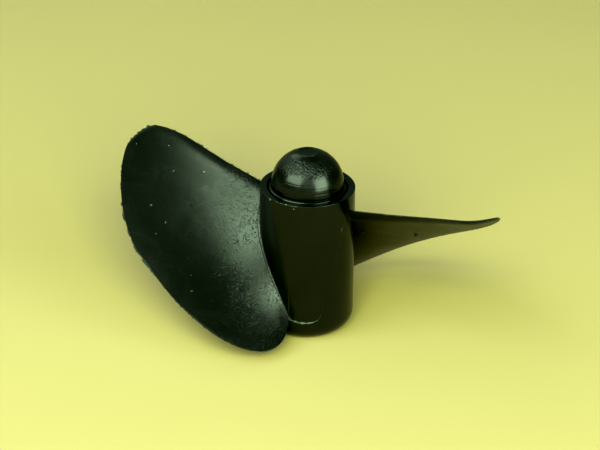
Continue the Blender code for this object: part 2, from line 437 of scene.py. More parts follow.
def blade_material():
    """Glass-filled nylon, black, from a spark-eroded mould.

    The sparks leave overlapping craters, which spread the light into a broad dull sheen. They are
    coarsest next to the hub, where they sparkle like fine sand between small dark pits. Further out
    the blades are smoother, with cloudy patches some millimetres wide and a few bright specks of
    glass. The undersides are duller than the upper faces.
    """
    finish = bpy.context.scene.propeller_finish
    material, tree, shader, place = new_material("nylon_spark_eroded", {"IOR": 1.53})
    clouds = add(tree, "ShaderNodeTexNoise", {"Vector": place, "Scale": per(5.0), **CLOUDY})
    uneven = add(
        tree,
        "ShaderNodeTexNoise",
        {"Vector": place, "Scale": per(3.0), "Detail": 1.5, "Roughness": 0.4},
    )

    # Sandy near the hub, and less so outwards, with a cloudy border
    flat = add(tree, "ShaderNodeVectorMath", (place, (1.0, 1.0, 0.0)), operation="MULTIPLY")
    radius = add(tree, "ShaderNodeVectorMath", (flat,), operation="LENGTH").outputs["Value"]
    reach = add(tree, "ShaderNodeMath", (clouds, -5.0 * MM, radius), operation="MULTIPLY_ADD")
    sandy = add(tree, "ShaderNodeMapRange", (reach, 16.0 * MM, 6.5 * MM, 0.2), **SMOOTH)

    # Real craters are 0.02 to 0.1 mm wide. These are drawn at 0.13 mm, and the sand at 0.28 mm, so
    # that they show.
    craters = add(tree, "ShaderNodeTexNoise", {"Vector": place, "Scale": per(0.13), "Detail": 1.0})
    sand, glass, holes = (
        add(tree, "ShaderNodeTexVoronoi", {"Vector": place, "Scale": per(width)})
        for width in (0.28, 0.6, 0.75)
    )
    grain = (sand, 0.5, 0.0)
    hole = (holes, 0.05, 0.2, -1.0, 0.0)
    grains, pits = (
        add(
            tree,
            "ShaderNodeMath",
            (add(tree, "ShaderNodeMapRange", form, **SMOOTH), sandy),
            operation="MULTIPLY",
        )
        for form in (grain, hole)
    )

    # A bright speck in one of forty cells
    tone = add(tree, "ShaderNodeSeparateColor", (glass.outputs["Color"],)).outputs["Red"]
    rare = add(tree, "ShaderNodeMath", (tone, 0.975), operation="GREATER_THAN")
    dot = add(tree, "ShaderNodeMapRange", (glass, 0.16, 0.06, 0.0, 0.4))
    speck = add(tree, "ShaderNodeMath", (rare, dot), operation="MULTIPLY")
    scuff = add(tree, "ShaderNodeMapRange", (clouds, 0.4, 0.75))
    skin = add(tree, "ShaderNodeMix", {0: scuff, 6: finish.nylon, 7: finish.nylon_pale}, **COLOUR)
    coloured = add(tree, "ShaderNodeMix", {0: speck, 6: skin.outputs[2], 7: finish.flash}, **COLOUR)

    dullness = add(tree, "ShaderNodeMapRange", (clouds, 0.3, 0.7, 0.15, 0.22))
    upright = add(tree, "ShaderNodeSeparateXYZ", (place.node.outputs["Normal"],)).outputs["Z"]
    underside = add(tree, "ShaderNodeMapRange", (upright, 0.1, -0.1, 0.0, 0.18))
    duller = add(tree, "ShaderNodeMath", (dullness, underside), operation="ADD")
    dress(
        tree,
        shader,
        {"Base Color": coloured.outputs[2], "Roughness": duller.outputs[0]},
        [(1.0, 0.04, craters), (1.0, 0.034, grains), (0.8, 0.07, pits), (1.0, 0.07, uneven)],
    )
    return material


def hub_material():
    """Glass-filled nylon, black, from a turned and polished mould.

    It mirrors the floor dimly and softly. Sliding out of the mould has drawn faint streaks along
    the hub, and handling has left small scuffs.
    """
    finish = bpy.context.scene.propeller_finish
    material, tree, shader, place = new_material("nylon_polished_mould", {"IOR": 1.56})
    clouds = add(tree, "ShaderNodeTexNoise", {"Vector": place, "Scale": per(4.0), **CLOUDY})
    skin = add(tree, "ShaderNodeMix", {0: clouds, 6: finish.polished, 7: finish.nylon}, **COLOUR)
    drawn = add(tree, "ShaderNodeVectorMath", (place, (1.0, 1.0, 0.07)), operation="MULTIPLY")
    streaks, grain = (
        add(
            tree,
            "ShaderNodeTexNoise",
            {"Vector": vector, "Scale": per(width), "Detail": detail, "Roughness": 0.6},
        )
        for vector, width, detail in ((drawn, 0.7, 3.0), (place, 0.3, 2.0))
    )
    dullness = add(tree, "ShaderNodeMapRange", (streaks, 0.3, 0.7, 0.17, 0.25))
    scuffs = add(tree, "ShaderNodeTexVoronoi", {"Vector": place, "Scale": per(1.6)})
    scuff = add(tree, "ShaderNodeMapRange", (scuffs, 0.03, 0.1), **SMOOTH)
    dress(
        tree,
        shader,
        {"Base Color": skin.outputs[2], "Roughness": dullness.outputs[0]},
        [(1.0, 0.006, grain), (1.0, 0.01, streaks), (0.5, 0.02, scuff), (0.3, 0.12, clouds)],
    )
    return material


def cap_material():
    """Acetal, black, moulded and skimmed on a lathe.

    It is slippery and shinier than the nylon. The skimming leaves rings too fine to see one by one,
    which smear the lights a little, and the melt that came in at the top froze in a crazed patch
    round the gate mark. The flange under the dome is glossier.
    """
    finish = bpy.context.scene.propeller_finish
    cap = bpy.context.scene.propeller_cap
    material, tree, shader, place = new_material(
        "acetal_skimmed", {"IOR": 1.5, "Base Color": (*finish.acetal, 1.0)}
    )
    rise = add(tree, "ShaderNodeSeparateXYZ", (place,)).outputs["Z"]
    # Real skimming rings are about 0.05 mm apart. They are drawn at 0.2 mm, so that they show.
    rings = add(
        tree,
        "ShaderNodeTexWave",
        {
            "Vector": place,
            "Scale": per(0.2) * math.tau / 20,
            "Distortion": 1.0,
            "Detail": 2.0,
            "Detail Scale": 0.4,
        },
        wave_type="BANDS",
        bands_direction="Z",
        wave_profile="SIN",
    )

    # The crazing grows from one height above the dome's centre to another, and then fades away.
    crazing = add(
        tree, "ShaderNodeTexNoise", {"Vector": place, "Scale": per(0.36), "Roughness": 0.6}
    )
    level = add(tree, "ShaderNodeMath", (crazing, 0.5), operation="SUBTRACT")
    grown, faded = (
        add(
            tree,
            "ShaderNodeMapRange",
            (rise, cap.dome_centre + start * MM, cap.dome_centre + end * MM),
            **SMOOTH,
        )
        for start, end in ((2.6, 3.7), (4.9, 4.6))
    )
    crazed = add(tree, "ShaderNodeMath", (grown, faded), operation="MULTIPLY")
    crazes = add(tree, "ShaderNodeMath", (level, crazed), operation="MULTIPLY")

    smears = add(
        tree,
        "ShaderNodeTexNoise",
        {"Vector": place, "Scale": per(2.0), "Detail": 5.0, "Roughness": 0.7},
    )
    shine = add(tree, "ShaderNodeMapRange", (smears, 0.35, 0.7, 0.2, 0.3))
    flange = add(
        tree,
        "ShaderNodeMapRange",
        (rise, cap.dome_centre - 0.3 * MM, cap.dome_centre, 0.5),
    )
    dullness = add(tree, "ShaderNodeMath", (shine, flange), operation="MULTIPLY")
    dress(
        tree,
        shader,
        {"Roughness": dullness.outputs[0]},
        [(1.0, 0.0008, rings.outputs["Fac"]), (1.0, 0.22, crazes)],
    )
    return material


def flash_material():
    """Nylon flash, stress-whitened.

    The thin skin squeezed out between the mould's halves is bent and torn when it is trimmed, which
    opens the nylon up and turns it a chalky grey in places, and leaves it black in others. It is
    whitest low on the hub and on the front rim.
    """
    finish = bpy.context.scene.propeller_finish
    material, tree, shader, place = new_material(
        "nylon_flash_whitened", {"IOR": 1.53, "Roughness": 0.55}
    )
    torn = add(
        tree,
        "ShaderNodeTexNoise",
        {"Vector": place, "Scale": per(0.9), "Detail": 4.0, "Roughness": 0.7},
    )
    rise = add(tree, "ShaderNodeSeparateXYZ", (place,)).outputs["Z"]
    low = add(tree, "ShaderNodeMapRange", (rise, 4.6 * MM, 3.4 * MM, 0.0, 0.3))
    rim = add(tree, "ShaderNodeMath", (rise, 22.3 * MM, 0.4 * MM), operation="COMPARE")
    ends = add(tree, "ShaderNodeMath", (rim, 0.28, low), operation="MULTIPLY_ADD")
    amount = add(tree, "ShaderNodeMath", (torn, ends), operation="ADD")
    white = add(tree, "ShaderNodeMapRange", (amount, 0.58, 0.78))
    mixed = add(tree, "ShaderNodeMix", {0: white, 6: finish.nylon_pale, 7: finish.flash}, **COLOUR)
    grit = add(tree, "ShaderNodeTexNoise", {"Vector": place, "Scale": per(0.12)})
    dress(tree, shader, {"Base Color": mixed.outputs[2]}, [(0.8, 0.03, grit)])
    return material


def dust_material():
    """Household dust and nylon crumbs: small, fibrous and wholly matt, and some pale, some dark."""
    finish = bpy.context.scene.propeller_finish
    material, tree, shader, place = new_material("dust_crumbs", {"IOR": 1.45, "Roughness": 0.9})
    lint = add(tree, "ShaderNodeTexNoise", {"Vector": place, "Scale": per(1.7)})
    fade = add(tree, "ShaderNodeMix", {0: lint, 6: (0.06, 0.066, 0.058), 7: finish.dust}, **COLOUR)
    dress(tree, shader, {"Base Color": fade.outputs[2]})
    return material


def floor_material():
    """Painted board, plain and matt, with a faint unevenness a few centimetres wide."""
    floor = bpy.context.scene.propeller_studio.floor
    material, tree, shader, place = new_material(
        "painted_board", {"IOR": 1.5, "Roughness": 1.0, "Specular IOR Level": 0.1}
    )
    uneven = add(tree, "ShaderNodeTexNoise", {"Vector": place, "Scale": per(60.0)})
    darker = tuple(value * 0.96 for value in floor)
    mixed = add(tree, "ShaderNodeMix", {0: uneven, 6: floor, 7: darker}, **COLOUR)
    dress(tree, shader, {"Base Color": mixed.outputs[2]})
    return material


def arc(centre, radius, start, end, steps):
    """Points (radius, height) of an arc, with its angles in degrees from the outward direction."""
    angles = [math.radians(start + (end - start) * i / steps) for i in range(steps + 1)]
    return [(centre[0] + radius * math.cos(a), centre[1] + radius * math.sin(a)) for a in angles]


def turned(profile, closed, steps):
    """A body turned round Z from its profile of (radius, height) points."""
    bm = bmesh.new()
    points = [bm.verts.new((radius, 0.0, height)) for radius, height in profile]
    pairs = list(zip(points, points[1:]))
    if closed:
        pairs.append((points[-1], points[0]))
    edges = [bm.edges.new(pair) for pair in pairs]
    bmesh.ops.spin(
        bm,
        geom=points + edges,
        axis=(0, 0, 1),
        cent=(0, 0, 0),
        steps=steps,
        angle=math.tau,
        use_merge=True,
    )
    bmesh.ops.remove_doubles(bm, verts=bm.verts, dist=MERGE_DISTANCE)
    bmesh.ops.recalc_face_normals(bm, faces=bm.faces)
    return bm


def put_in_order(mesh):
    """Sorts a mesh's points and faces by place, as Blender may order them otherwise each run."""
    points = np.array([vertex.co for vertex in mesh.vertices])
    order = np.lexsort(np.round(points / MM, PLACE_DIGITS).T)
    rank = np.argsort(order)
    faces = []
    for face in mesh.polygons:
        corners = [int(rank[corner]) for corner in face.vertices]
        first = corners.index(min(corners))
        faces.append((corners[first:] + corners[:first], face.material_index))
    faces.sort()
    mesh.clear_geometry()
    mesh.from_pydata(points[order], [], [corners for corners, _ in faces])
    mesh.polygons.foreach_set("material_index", [index for _, index in faces])


def add_object(name, mesh, material=None):
    """Links a new object; a bmesh is turned into its mesh first."""
    if isinstance(mesh, bmesh.types.BMesh):
        bm, mesh = mesh, bpy.data.meshes.new(name)
        bm.to_mesh(mesh)
        bm.free()
        put_in_order(mesh)
    if material is not None:
        mesh.materials.clear()
        mesh.materials.append(material)
    obj = bpy.data.objects.new(name, mesh)
    bpy.context.scene.collection.objects.link(obj)
    return obj


def finished(name, source):
    """A plain mesh object of what the source's modifiers make. The source is removed."""
    graph = bpy.context.evaluated_depsgraph_get()
    mesh = bpy.data.meshes.new_from_object(source.evaluated_get(graph))
    bpy.data.objects.remove(source)
    if not mesh.polygons:
        raise RuntimeError(name + " came out empty")
    mesh.name = name
    return add_object(name, mesh)


def smooth(obj):
    obj.data.shade_smooth()
    obj.data.set_sharp_from_angle(angle=SHARP_ANGLE)


def unit(vectors):
    return vectors / np.linalg.norm(vectors, axis=-1, keepdims=True)


def outward(angle):
    """The direction straight out from the hub's axis at an angle in degrees."""
    turn = math.radians(angle)
    return np.array([math.cos(turn), math.sin(turn), 0.0])


def smooth_curve(x, knots, values):
    """A smooth curve through the given values: cubic pieces whose slopes match at the knots."""
    slopes = np.gradient(values, knots)
    k = np.clip(np.searchsorted(knots, x) - 1, 0, len(knots) - 2)
    width = knots[k + 1] - knots[k]
    t = np.clip((x - knots[k]) / width, 0.0, 1.0)
    return (
        (1 + 2 * t) * (1 - t) ** 2 * values[k]
        + t * (1 - t) ** 2 * width * slopes[k]
        + t**2 * (3 - 2 * t) * values[k + 1]
        - t**2 * (1 - t) * width * slopes[k + 1]
    )


def cubic_weights(x, knots):
    """The weights of four knots' values in the cubic through them, at each x."""
    weights = []
    for knot in knots:
        others = [other for other in knots if other != knot]
        weights.append(np.prod([(x - other) / (knot - other) for other in others], axis=0))
    return np.stack(weights, axis=-1)


class BladeForm:
    """The shape of one blade, with all its lengths in metres."""

    def __init__(self, blades):
        self.hub_radius = BLADE_PLAN[0, 0] * MM
        self.tip = BLADE_PLAN[-1, 0] * MM
        self.fillet = blades.root_fillet
        self.inner = blades.inner_radius
        self.root_thickness = blades.root_thickness
        self.tip_thickness = blades.tip_thickness
        self.thinning = blades.thinning
        self.upper_round = blades.upper_round
        self.lower_round = blades.lower_round

    def span_angle(self, radius):
        """Turns a radius into the angle that spaces a rounded tip's stations evenly."""
        share = (radius - self.hub_radius) / (self.tip - self.hub_radius)
        return np.arcsin(np.clip(share, 0.0, 1.0))

    def radii(self, steps):
        """Radii of the blade's rows: close together in the root fillet, then out to the tip."""
        fillet = self.hub_radius + self.fillet * np.array(FILLET_ROWS)
        angles = np.linspace(float(self.span_angle(fillet[-1])), math.pi / 2, steps)[1:]
        outer = self.hub_radius + (self.tip - self.hub_radius) * np.sin(angles)
        return np.concatenate([[self.inner], fillet, outer])

    def edges(self, radii):
        """The angles in degrees of the upper and the lower edge at each radius."""
        knots = self.span_angle(BLADE_PLAN[:, 0] * MM)
        at = self.span_angle(radii)
        return [smooth_curve(at, knots, BLADE_PLAN[:, column]) for column in (1, 2)]

    def height(self, radius, angle):
        """The height of the middle surface, from radii in metres and angles in degrees."""
        across = cubic_weights(np.maximum(radius, self.hub_radius) / MM, HEIGHT_RADII)
        around = cubic_weights(angle, HEIGHT_ANGLES)
        return MM * np.einsum("...i,...j,ij->...", across, around, BLADE_HEIGHTS)

    def middle(self, radii, chord):
        """Points midway through the thickness, for each radius and each share of the chord."""
        upper, lower = (edge[:, None] for edge in self.edges(radii))
        angle = upper + (lower - upper) * chord
        radius = radii[:, None] + 0.0 * angle
        turn = np.radians(angle)
        return np.stack(
            [radius * np.cos(turn), radius * np.sin(turn), self.height(radius, angle)], axis=-1
        )

    def edge_distance(self, points):
        """How far each point lies from the blade's outline."""
        outline = np.concatenate([points[:, 0], points[::-1, -1]])
        start, along = outline[:-1], np.diff(outline, axis=0)
        length2 = np.maximum((along**2).sum(-1), LEAST_SQUARE)
        offset = points[:, :, None] - start
        share = np.clip((offset * along).sum(-1) / length2, 0.0, 1.0)
        return np.linalg.norm(offset - share[..., None] * along, axis=-1).min(-1)

    def thickness(self, radius, chord):
        """The full thickness: thinner outwards and towards the lower edge."""
        out = np.clip((radius - self.hub_radius) / (self.tip - self.hub_radius), 0, 1)
        full = self.root_thickness + (self.tip_thickness - self.root_thickness) * out
        return full * (1 - self.thinning * chord)

    def half_thickness(self, points, radii, chord):
        """Half the thickness, rounded at the edges and flared at the hub."""
        full = self.thickness(radii[:, None], chord)
        rise = np.clip(1 - (radii - self.hub_radius) / self.fillet, 0, 1)[:, None]
        flare = self.fillet * (1 - np.sqrt(1 - rise**2))
        reach = self.lower_round + (self.upper_round - self.lower_round) * (1 - chord) ** 2
        rounding = reach * full + flare
        inward = np.clip(self.edge_distance(points) / rounding, 0, 1)
        return (full / 2 + flare) * (1 - (1 - inward) ** 2) ** EDGE_FULLNESS

    def face_point(self, radius, angle, upper_face):
        """A point on one face of the blade, and the direction straight out of that face."""
        near = np.array([-1.0, 0.0, 1.0])
        radii = radius + near * FACE_STEP * MM
        upper, lower = self.edges(radii)
        chord = (angle - upper[1]) / (lower[1] - upper[1])
        points = self.middle(radii, chord + near * FACE_CHORD_STEP)
        normal = unit(np.cross(points[2, 1] - points[0, 1], points[1, 2] - points[1, 0]))
        if (normal[2] > 0) != upper_face:
            normal = -normal
        return points[1, 1] + normal * self.thickness(radius, chord) / 2, normal


def normals(points):
    """Unit normals of the grid of points, with the tip's taken from the row before it."""
    normal = np.cross(np.gradient(points, axis=0), np.gradient(points, axis=1))
    normal[-1] = normal[-2]
    return unit(normal)


def blade_bmesh(form):
    """One blade, with its root end inside the hub's wall."""
    chord = 0.5 - 0.5 * np.cos(np.linspace(0, math.pi, CHORD_STEPS + 1))
    radii = form.radii(SPAN_STEPS)
    middle = form.middle(radii, chord)
    offset = normals(middle) * form.half_thickness(middle, radii, chord)[..., None]
    bm = bmesh.new()
    tip = bm.verts.new(middle[-1, 0])
    sides = []
    for side in (middle + offset, middle - offset):
        sides.append([[bm.verts.new(point) for point in row] for row in side[:-1]])
    for front_row, back_row in zip(*sides):
        for end in (0, -1):
            bm.verts.remove(back_row[end])
            back_row[end] = front_row[end]
    for rows in sides:
        for near, far in zip(rows, rows[1:]):
            for j in range(CHORD_STEPS):
                bm.faces.new((near[j], near[j + 1], far[j + 1], far[j]))
        for j in range(CHORD_STEPS):
            bm.faces.new((rows[-1][j], rows[-1][j + 1], tip))
    front, back = sides[0][0], sides[1][0]
    for j in range(CHORD_STEPS):
        corners = dict.fromkeys((front[j], front[j + 1], back[j + 1], back[j]))
        bm.faces.new(tuple(corners))
    bmesh.ops.recalc_face_normals(bm, faces=bm.faces)
    return bm


def hub_profile(hub):
    """The hub's wall: rear face, outer side, front rim, cap socket and shaft bore."""
    rear = hub.rear_radius - hub.rear_round
    rim = hub.front_radius - hub.rim_round
    mouth = hub.socket_radius + hub.lip
    floor = hub.height - hub.socket_depth
    return [
        (hub.bore_radius + hub.bore_chamfer, 0.0),
        *arc((rear, hub.rear_round), hub.rear_round, -90, 0, REAR_ARC_STEPS),
        *arc((rim, hub.height - hub.rim_round), hub.rim_round, 0, 90, RIM_ARC_STEPS),
        *arc((mouth, hub.height - hub.lip), hub.lip, 90, 180, LIP_ARC_STEPS),
        (hub.socket_radius, floor),
        (hub.bore_radius, floor),
        (hub.bore_radius, hub.bore_chamfer),
    ]


def hub_surface(hub, angle, height):
    """A point on the hub's side, from an angle in degrees and a height in metres."""
    share = (height - hub.rear_round) / (hub.height - hub.rim_round - hub.rear_round)
    radius = hub.rear_radius + (hub.front_radius - hub.rear_radius) * min(max(share, 0.0), 1.0)
    return outward(angle) * radius + UP * height


def new_tree(name, inputs):
    """A Geometry Nodes tree with named inputs: it, its inputs' sockets and their identifiers."""
    tree = bpy.data.node_groups.new(name, "GeometryNodeTree")
    identifiers = {}
    for label, kind in {"Geometry": "Geometry", **inputs, "Material": "Material"}.items():
        socket = tree.interface.new_socket(label, in_out="INPUT", socket_type="NodeSocket" + kind)
        identifiers[label] = socket.identifier
    tree.interface.new_socket("Geometry", in_out="OUTPUT", socket_type="NodeSocketGeometry")
    return tree, tree.nodes.new("NodeGroupInput").outputs, identifiers


def end_tree(tree, geometry, material):
    """Ends a tree in Realize Instances and Set Material."""
    real = add(tree, "GeometryNodeRealizeInstances", {"Geometry": geometry})
    painted = add(tree, "GeometryNodeSetMaterial", {"Geometry": real, "Material": material})
    add(tree, "NodeGroupOutput", (painted,))


def grow(name, carrier, tree_and_identifiers, values):
    """Runs a tree on the carrier object and gives the plain mesh object that it makes."""
    tree, identifiers = tree_and_identifiers
    modifier = carrier.modifiers.new("Grow", "NODES")
    modifier.node_group = tree
    for label, value in values.items():
        modifier[identifiers[label]] = value
    return finished(name, carrier)


def point_cloud(name, points, vectors=None, numbers=None, edges=()):
    """An object of loose points, joined by edges where given, with named values at its points."""
    mesh = bpy.data.meshes.new(name)
    mesh.from_pydata([tuple(point) for point in points], list(edges), [])
    for label, values in (vectors or {}).items():
        attribute = mesh.attributes.new(label, "FLOAT_VECTOR", "POINT")
        attribute.data.foreach_set("vector", np.asarray(values, np.float32).ravel())
    for label, values in (numbers or {}).items():
        attribute = mesh.attributes.new(label, "FLOAT", "POINT")
        attribute.data.foreach_set("value", np.asarray(values, np.float32))
    return add_object(name, mesh)


def round_the_axis(tree, geometry, count):
    """Copies geometry evenly round the Z axis."""
    copies = add(tree, "GeometryNodeMeshLine", {"Count": count, "Offset": (0, 0, 0)}, mode="OFFSET")
    step = add(tree, "ShaderNodeMath", (math.tau, count), operation="DIVIDE")
    index = add(tree, "GeometryNodeInputIndex")
    turn = add(tree, "ShaderNodeMath", (index, step), operation="MULTIPLY")
    axes = add(tree, "ShaderNodeCombineXYZ", {"Z": turn})
    rotation = add(tree, "FunctionNodeEulerToRotation", (axes,))
    return add(
        tree,
        "GeometryNodeInstanceOnPoints",
        {"Points": copies, "Instance": geometry, "Rotation": rotation},
    )


def set_upright(tree):
    """Turns Z along the points' named value "out", and X along their named value "along"."""
    out, along = (
        add(tree, "GeometryNodeInputNamedAttribute", {"Name": name}, **VECTOR)
        for name in ("out", "along")
    )
    upright = add(tree, "FunctionNodeAlignRotationToVector", {"Vector": out}, axis="Z")
    return add(
        tree,
        "FunctionNodeAlignRotationToVector",
        {"Rotation": upright, "Vector": along},
        axis="X",
        pivot_axis="Z",
    )


def blades_tree():
    """Copies of one blade, evenly round the hub's axis."""
    tree, start, identifiers = new_tree("Blades round the hub", {"Count": "Int"})
    ring = round_the_axis(tree, start["Geometry"], start["Count"])
    end_tree(tree, ring, start["Material"])
    return tree, identifiers


def ridge_tree():
    """A ragged ridge along a line, copied evenly round the hub's axis."""
    tree, start, identifiers = new_tree(
        "Parting ridge",
        {"Count": "Int", "Size": "Float", "Spacing": "Float", "Raggedness": "Float"},
    )
    line = add(tree, "GeometryNodeMeshToCurve", {"Mesh": start["Geometry"]})
    even = add(
        tree,
        "GeometryNodeResampleCurve",
        {"Curve": line, "Length": start["Spacing"]},
        mode="LENGTH",
    )
    place = add(tree, "GeometryNodeInputPosition")
    ragged = add(
        tree, "ShaderNodeTexNoise", {"Vector": place, "Scale": per(0.45), "Roughness": 0.7}
    )
    shift = add(
        tree,
        "ShaderNodeVectorMath",
        (ragged.outputs["Color"], (0.5, 0.5, 0.5)),
        operation="SUBTRACT",
    )
    stray = add(
        tree, "ShaderNodeVectorMath", {0: shift, "Scale": start["Raggedness"]}, operation="SCALE"
    )
    moved = add(tree, "GeometryNodeSetPosition", {"Geometry": even, "Offset": stray})
    width = add(tree, "GeometryNodeInputNamedAttribute", {"Name": "half_width"}, data_type="FLOAT")
    swell = add(tree, "ShaderNodeMapRange", (ragged, 0.3, 0.7, 0.45, 1.35))
    swollen = add(tree, "ShaderNodeMath", (width, swell), operation="MULTIPLY")
    sized = add(tree, "ShaderNodeMath", (swollen, start["Size"]), operation="MULTIPLY")
    section = add(tree, "GeometryNodeCurvePrimitiveCircle", {"Resolution": 8, "Radius": 1.0})
    ridge = add(
        tree,
        "GeometryNodeCurveToMesh",
        {"Curve": moved, "Profile Curve": section, "Scale": sized, "Fill Caps": True},
    )
    end_tree(tree, round_the_axis(tree, ridge, start["Count"]), start["Material"])
    return tree, identifiers


def burr_tree():
    """Small torn fins at some of the points of an edge, copied evenly round the hub's axis."""
    tree, start, identifiers = new_tree(
        "Burrs along an edge",
        {"Count": "Int", "Length": "Float", "Share": "Float", "Seed": "Int"},
    )
    fin = add(
        tree,
        "GeometryNodeMeshCone",
        {"Vertices": 5, "Radius Top": 0.15, "Radius Bottom": 0.5, "Depth": 1.0},
        fill_type="NGON",
    )
    sunk = add(tree, "GeometryNodeTransform", {"Geometry": fin, "Translation": (0.0, 0.0, -0.25)})
    size = add(tree, "GeometryNodeInputNamedAttribute", {"Name": "size"}, data_type="FLOAT")
    kept = add(
        tree,
        "FunctionNodeRandomValue",
        {"Probability": start["Share"], "Seed": start["Seed"]},
        data_type="BOOLEAN",
    )
    large = add(
        tree,
        "FunctionNodeCompare",
        (size, LARGE_BURR),
        data_type="FLOAT",
        operation="GREATER_THAN",
    )
    chosen = add(tree, "FunctionNodeBooleanMath", (kept.outputs[3], large), operation="OR")
    scale = add(
        tree,
        "FunctionNodeRandomValue",
        {0: (0.6, 0.25, 0.25), 1: (2.2, 0.45, 0.7), "Seed": start["Seed"]},
        **VECTOR,
    )
    for factor in (size, start["Length"]):
        scale = add(tree, "ShaderNodeVectorMath", {0: scale, "Scale": factor}, operation="SCALE")
    fins = add(
        tree,
        "GeometryNodeInstanceOnPoints",
        {
            "Points": start["Geometry"],
            "Selection": chosen,
            "Instance": sunk,
            "Rotation": set_upright(tree),
            "Scale": scale,
        },
    )
    end_tree(tree, round_the_axis(tree, fins, start["Count"]), start["Material"])
    return tree, identifiers


def speck_tree():
    """Loose specks scattered over the surface of an object, with given crumbs beside them."""
    tree, start, identifiers = new_tree(
        "Specks on a surface",
        {"Surface": "Object", "Density": "Float", "Size": "Float", "Seed": "Int"},
    )
    crumb = add(tree, "GeometryNodeMeshIcoSphere", {"Radius": 0.5, "Subdivisions": 1})
    surface = add(tree, "GeometryNodeObjectInfo", {"Object": start["Surface"]})
    scattered = add(
        tree,
        "GeometryNodeDistributePointsOnFaces",
        {"Mesh": surface.outputs["Geometry"], "Density": start["Density"], "Seed": start["Seed"]},
        distribute_method="RANDOM",
    )
    shape = add(
        tree,
        "FunctionNodeRandomValue",
        {0: (0.3, 0.25, 0.15), 1: (1.2, 0.6, 0.35), "Seed": start["Seed"]},
        **VECTOR,
    )
    scale = add(tree, "ShaderNodeVectorMath", {0: shape, "Scale": start["Size"]}, operation="SCALE")
    given = add(tree, "GeometryNodeInputNamedAttribute", {"Name": "shape"}, **VECTOR)
    both = add(tree, "GeometryNodeJoinGeometry")
    for points, rotation, size in (
        (scattered.outputs["Points"], scattered.outputs["Rotation"], scale),
        (start["Geometry"], set_upright(tree), given),
    ):
        crumbs = add(
            tree,
            "GeometryNodeInstanceOnPoints",
            {"Points": points, "Instance": crumb, "Rotation": rotation, "Scale": size},
        )
        tree.links.new(crumbs.outputs[0], both.inputs[0])
    end_tree(tree, both, start["Material"])
    return tree, identifiers


def small_balls(name, form, places, upper_face, out, material=None):
    """Balls centred a share of their radius out of a blade's face: cutters for pits, or pips."""
    bm = bmesh.new()
    side = 1.0 if upper_face else -1.0
    for radius, angle, size in places:
        point, normal = form.face_point(radius * MM, angle, upper_face)
        centre = (point + normal * size * MM * out) * (side, side, 1.0)
        bmesh.ops.create_icosphere(
            bm, subdivisions=3, radius=size * MM, matrix=Matrix.Translation(Vector(centre))
        )
    return add_object(name, bm, material)


class PROPELLER_OT_moulding(bpy.types.Operator):
    """Builds the hub with its blades as one moulding, with small fillets, sink holes and pips"""

    bl_idname = "propeller.moulding"
    bl_label = "Hub and blades"

    def execute(self, context):
        hub, blades = context.scene.propeller_hub, context.scene.propeller_blades
        nylon = blade_material()
        form = BladeForm(blades)
        blade = add_object("blade_form", blade_bmesh(form), nylon)
        values = {"Count": blades.count, "Material": nylon}
        ring = grow("blade_ring", blade, blades_tree(), values)
        wall = turned(hub_profile(hub), True, HUB_STEPS)
        body = add_object("moulding_form", wall, hub_material())
        pips = small_balls("pips", form, PIPS, False, PIP_OUT, nylon)
        cutter = small_balls("pit_cutter", form, PITS, True, PIT_OUT)
        for other, operation in ((ring, "UNION"), (pips, "UNION"), (cutter, "DIFFERENCE")):
            join = body.modifiers.new("Shape", "BOOLEAN")
            join.operation = operation
            join.solver = "EXACT"
            join.material_mode = "TRANSFER"
            join.object = other
        piece = finished("hub_and_blades", body)
        put_in_order(piece.data)
        for helper in (ring, pips, cutter):
            bpy.data.objects.remove(helper)
        smooth(piece)
        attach(piece, "root")
        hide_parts("propeller_moulding")
        return {"FINISHED"}


class PROPELLER_OT_nose_cap(bpy.types.Operator):
    """Builds the domed nose cap, with a dished gate mark on top and a plug down in the socket"""

    bl_idname = "propeller.nose_cap"
    bl_label = "Nose cap"

    def execute(self, context):
        hub, cap = context.scene.propeller_hub, context.scene.propeller_cap
        foot = hub.height - hub.socket_depth + cap.gap
        shoulder = (cap.flange_radius - cap.flange_round, hub.height - cap.flange_round)
        flat_angle = math.degrees(math.acos(cap.gate_radius / cap.radius))
        dome = arc((0.0, cap.dome_centre), cap.radius, 0, flat_angle, DOME_ARC_STEPS)
        top = dome[-1][1]
        for height, depth in CAP_RINGS:
            dome = [
                (radius - depth * MM * math.exp(-(((z / MM - height) / CAP_RING_WIDTH) ** 2)), z)
                for radius, z in dome
            ]
        profile = [
            (0.0, foot),
            (cap.flange_radius - cap.foot_chamfer, foot),
            (cap.flange_radius, foot + cap.foot_chamfer),
            *arc(shoulder, cap.flange_round, 0, 90, FLANGE_ARC_STEPS),
            (cap.radius, hub.height),
            *dome,
        ]
        for width, rise, dish in GATE_SECTION:
            profile.append((cap.gate_radius * width, top + rise * MM - dish * cap.gate_depth))
        piece = add_object("domed_cap", turned(profile, False, CAP_STEPS), cap_material())
        smooth(piece)
        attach(piece, "root")
        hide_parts("nose_cap")
        return {"FINISHED"}


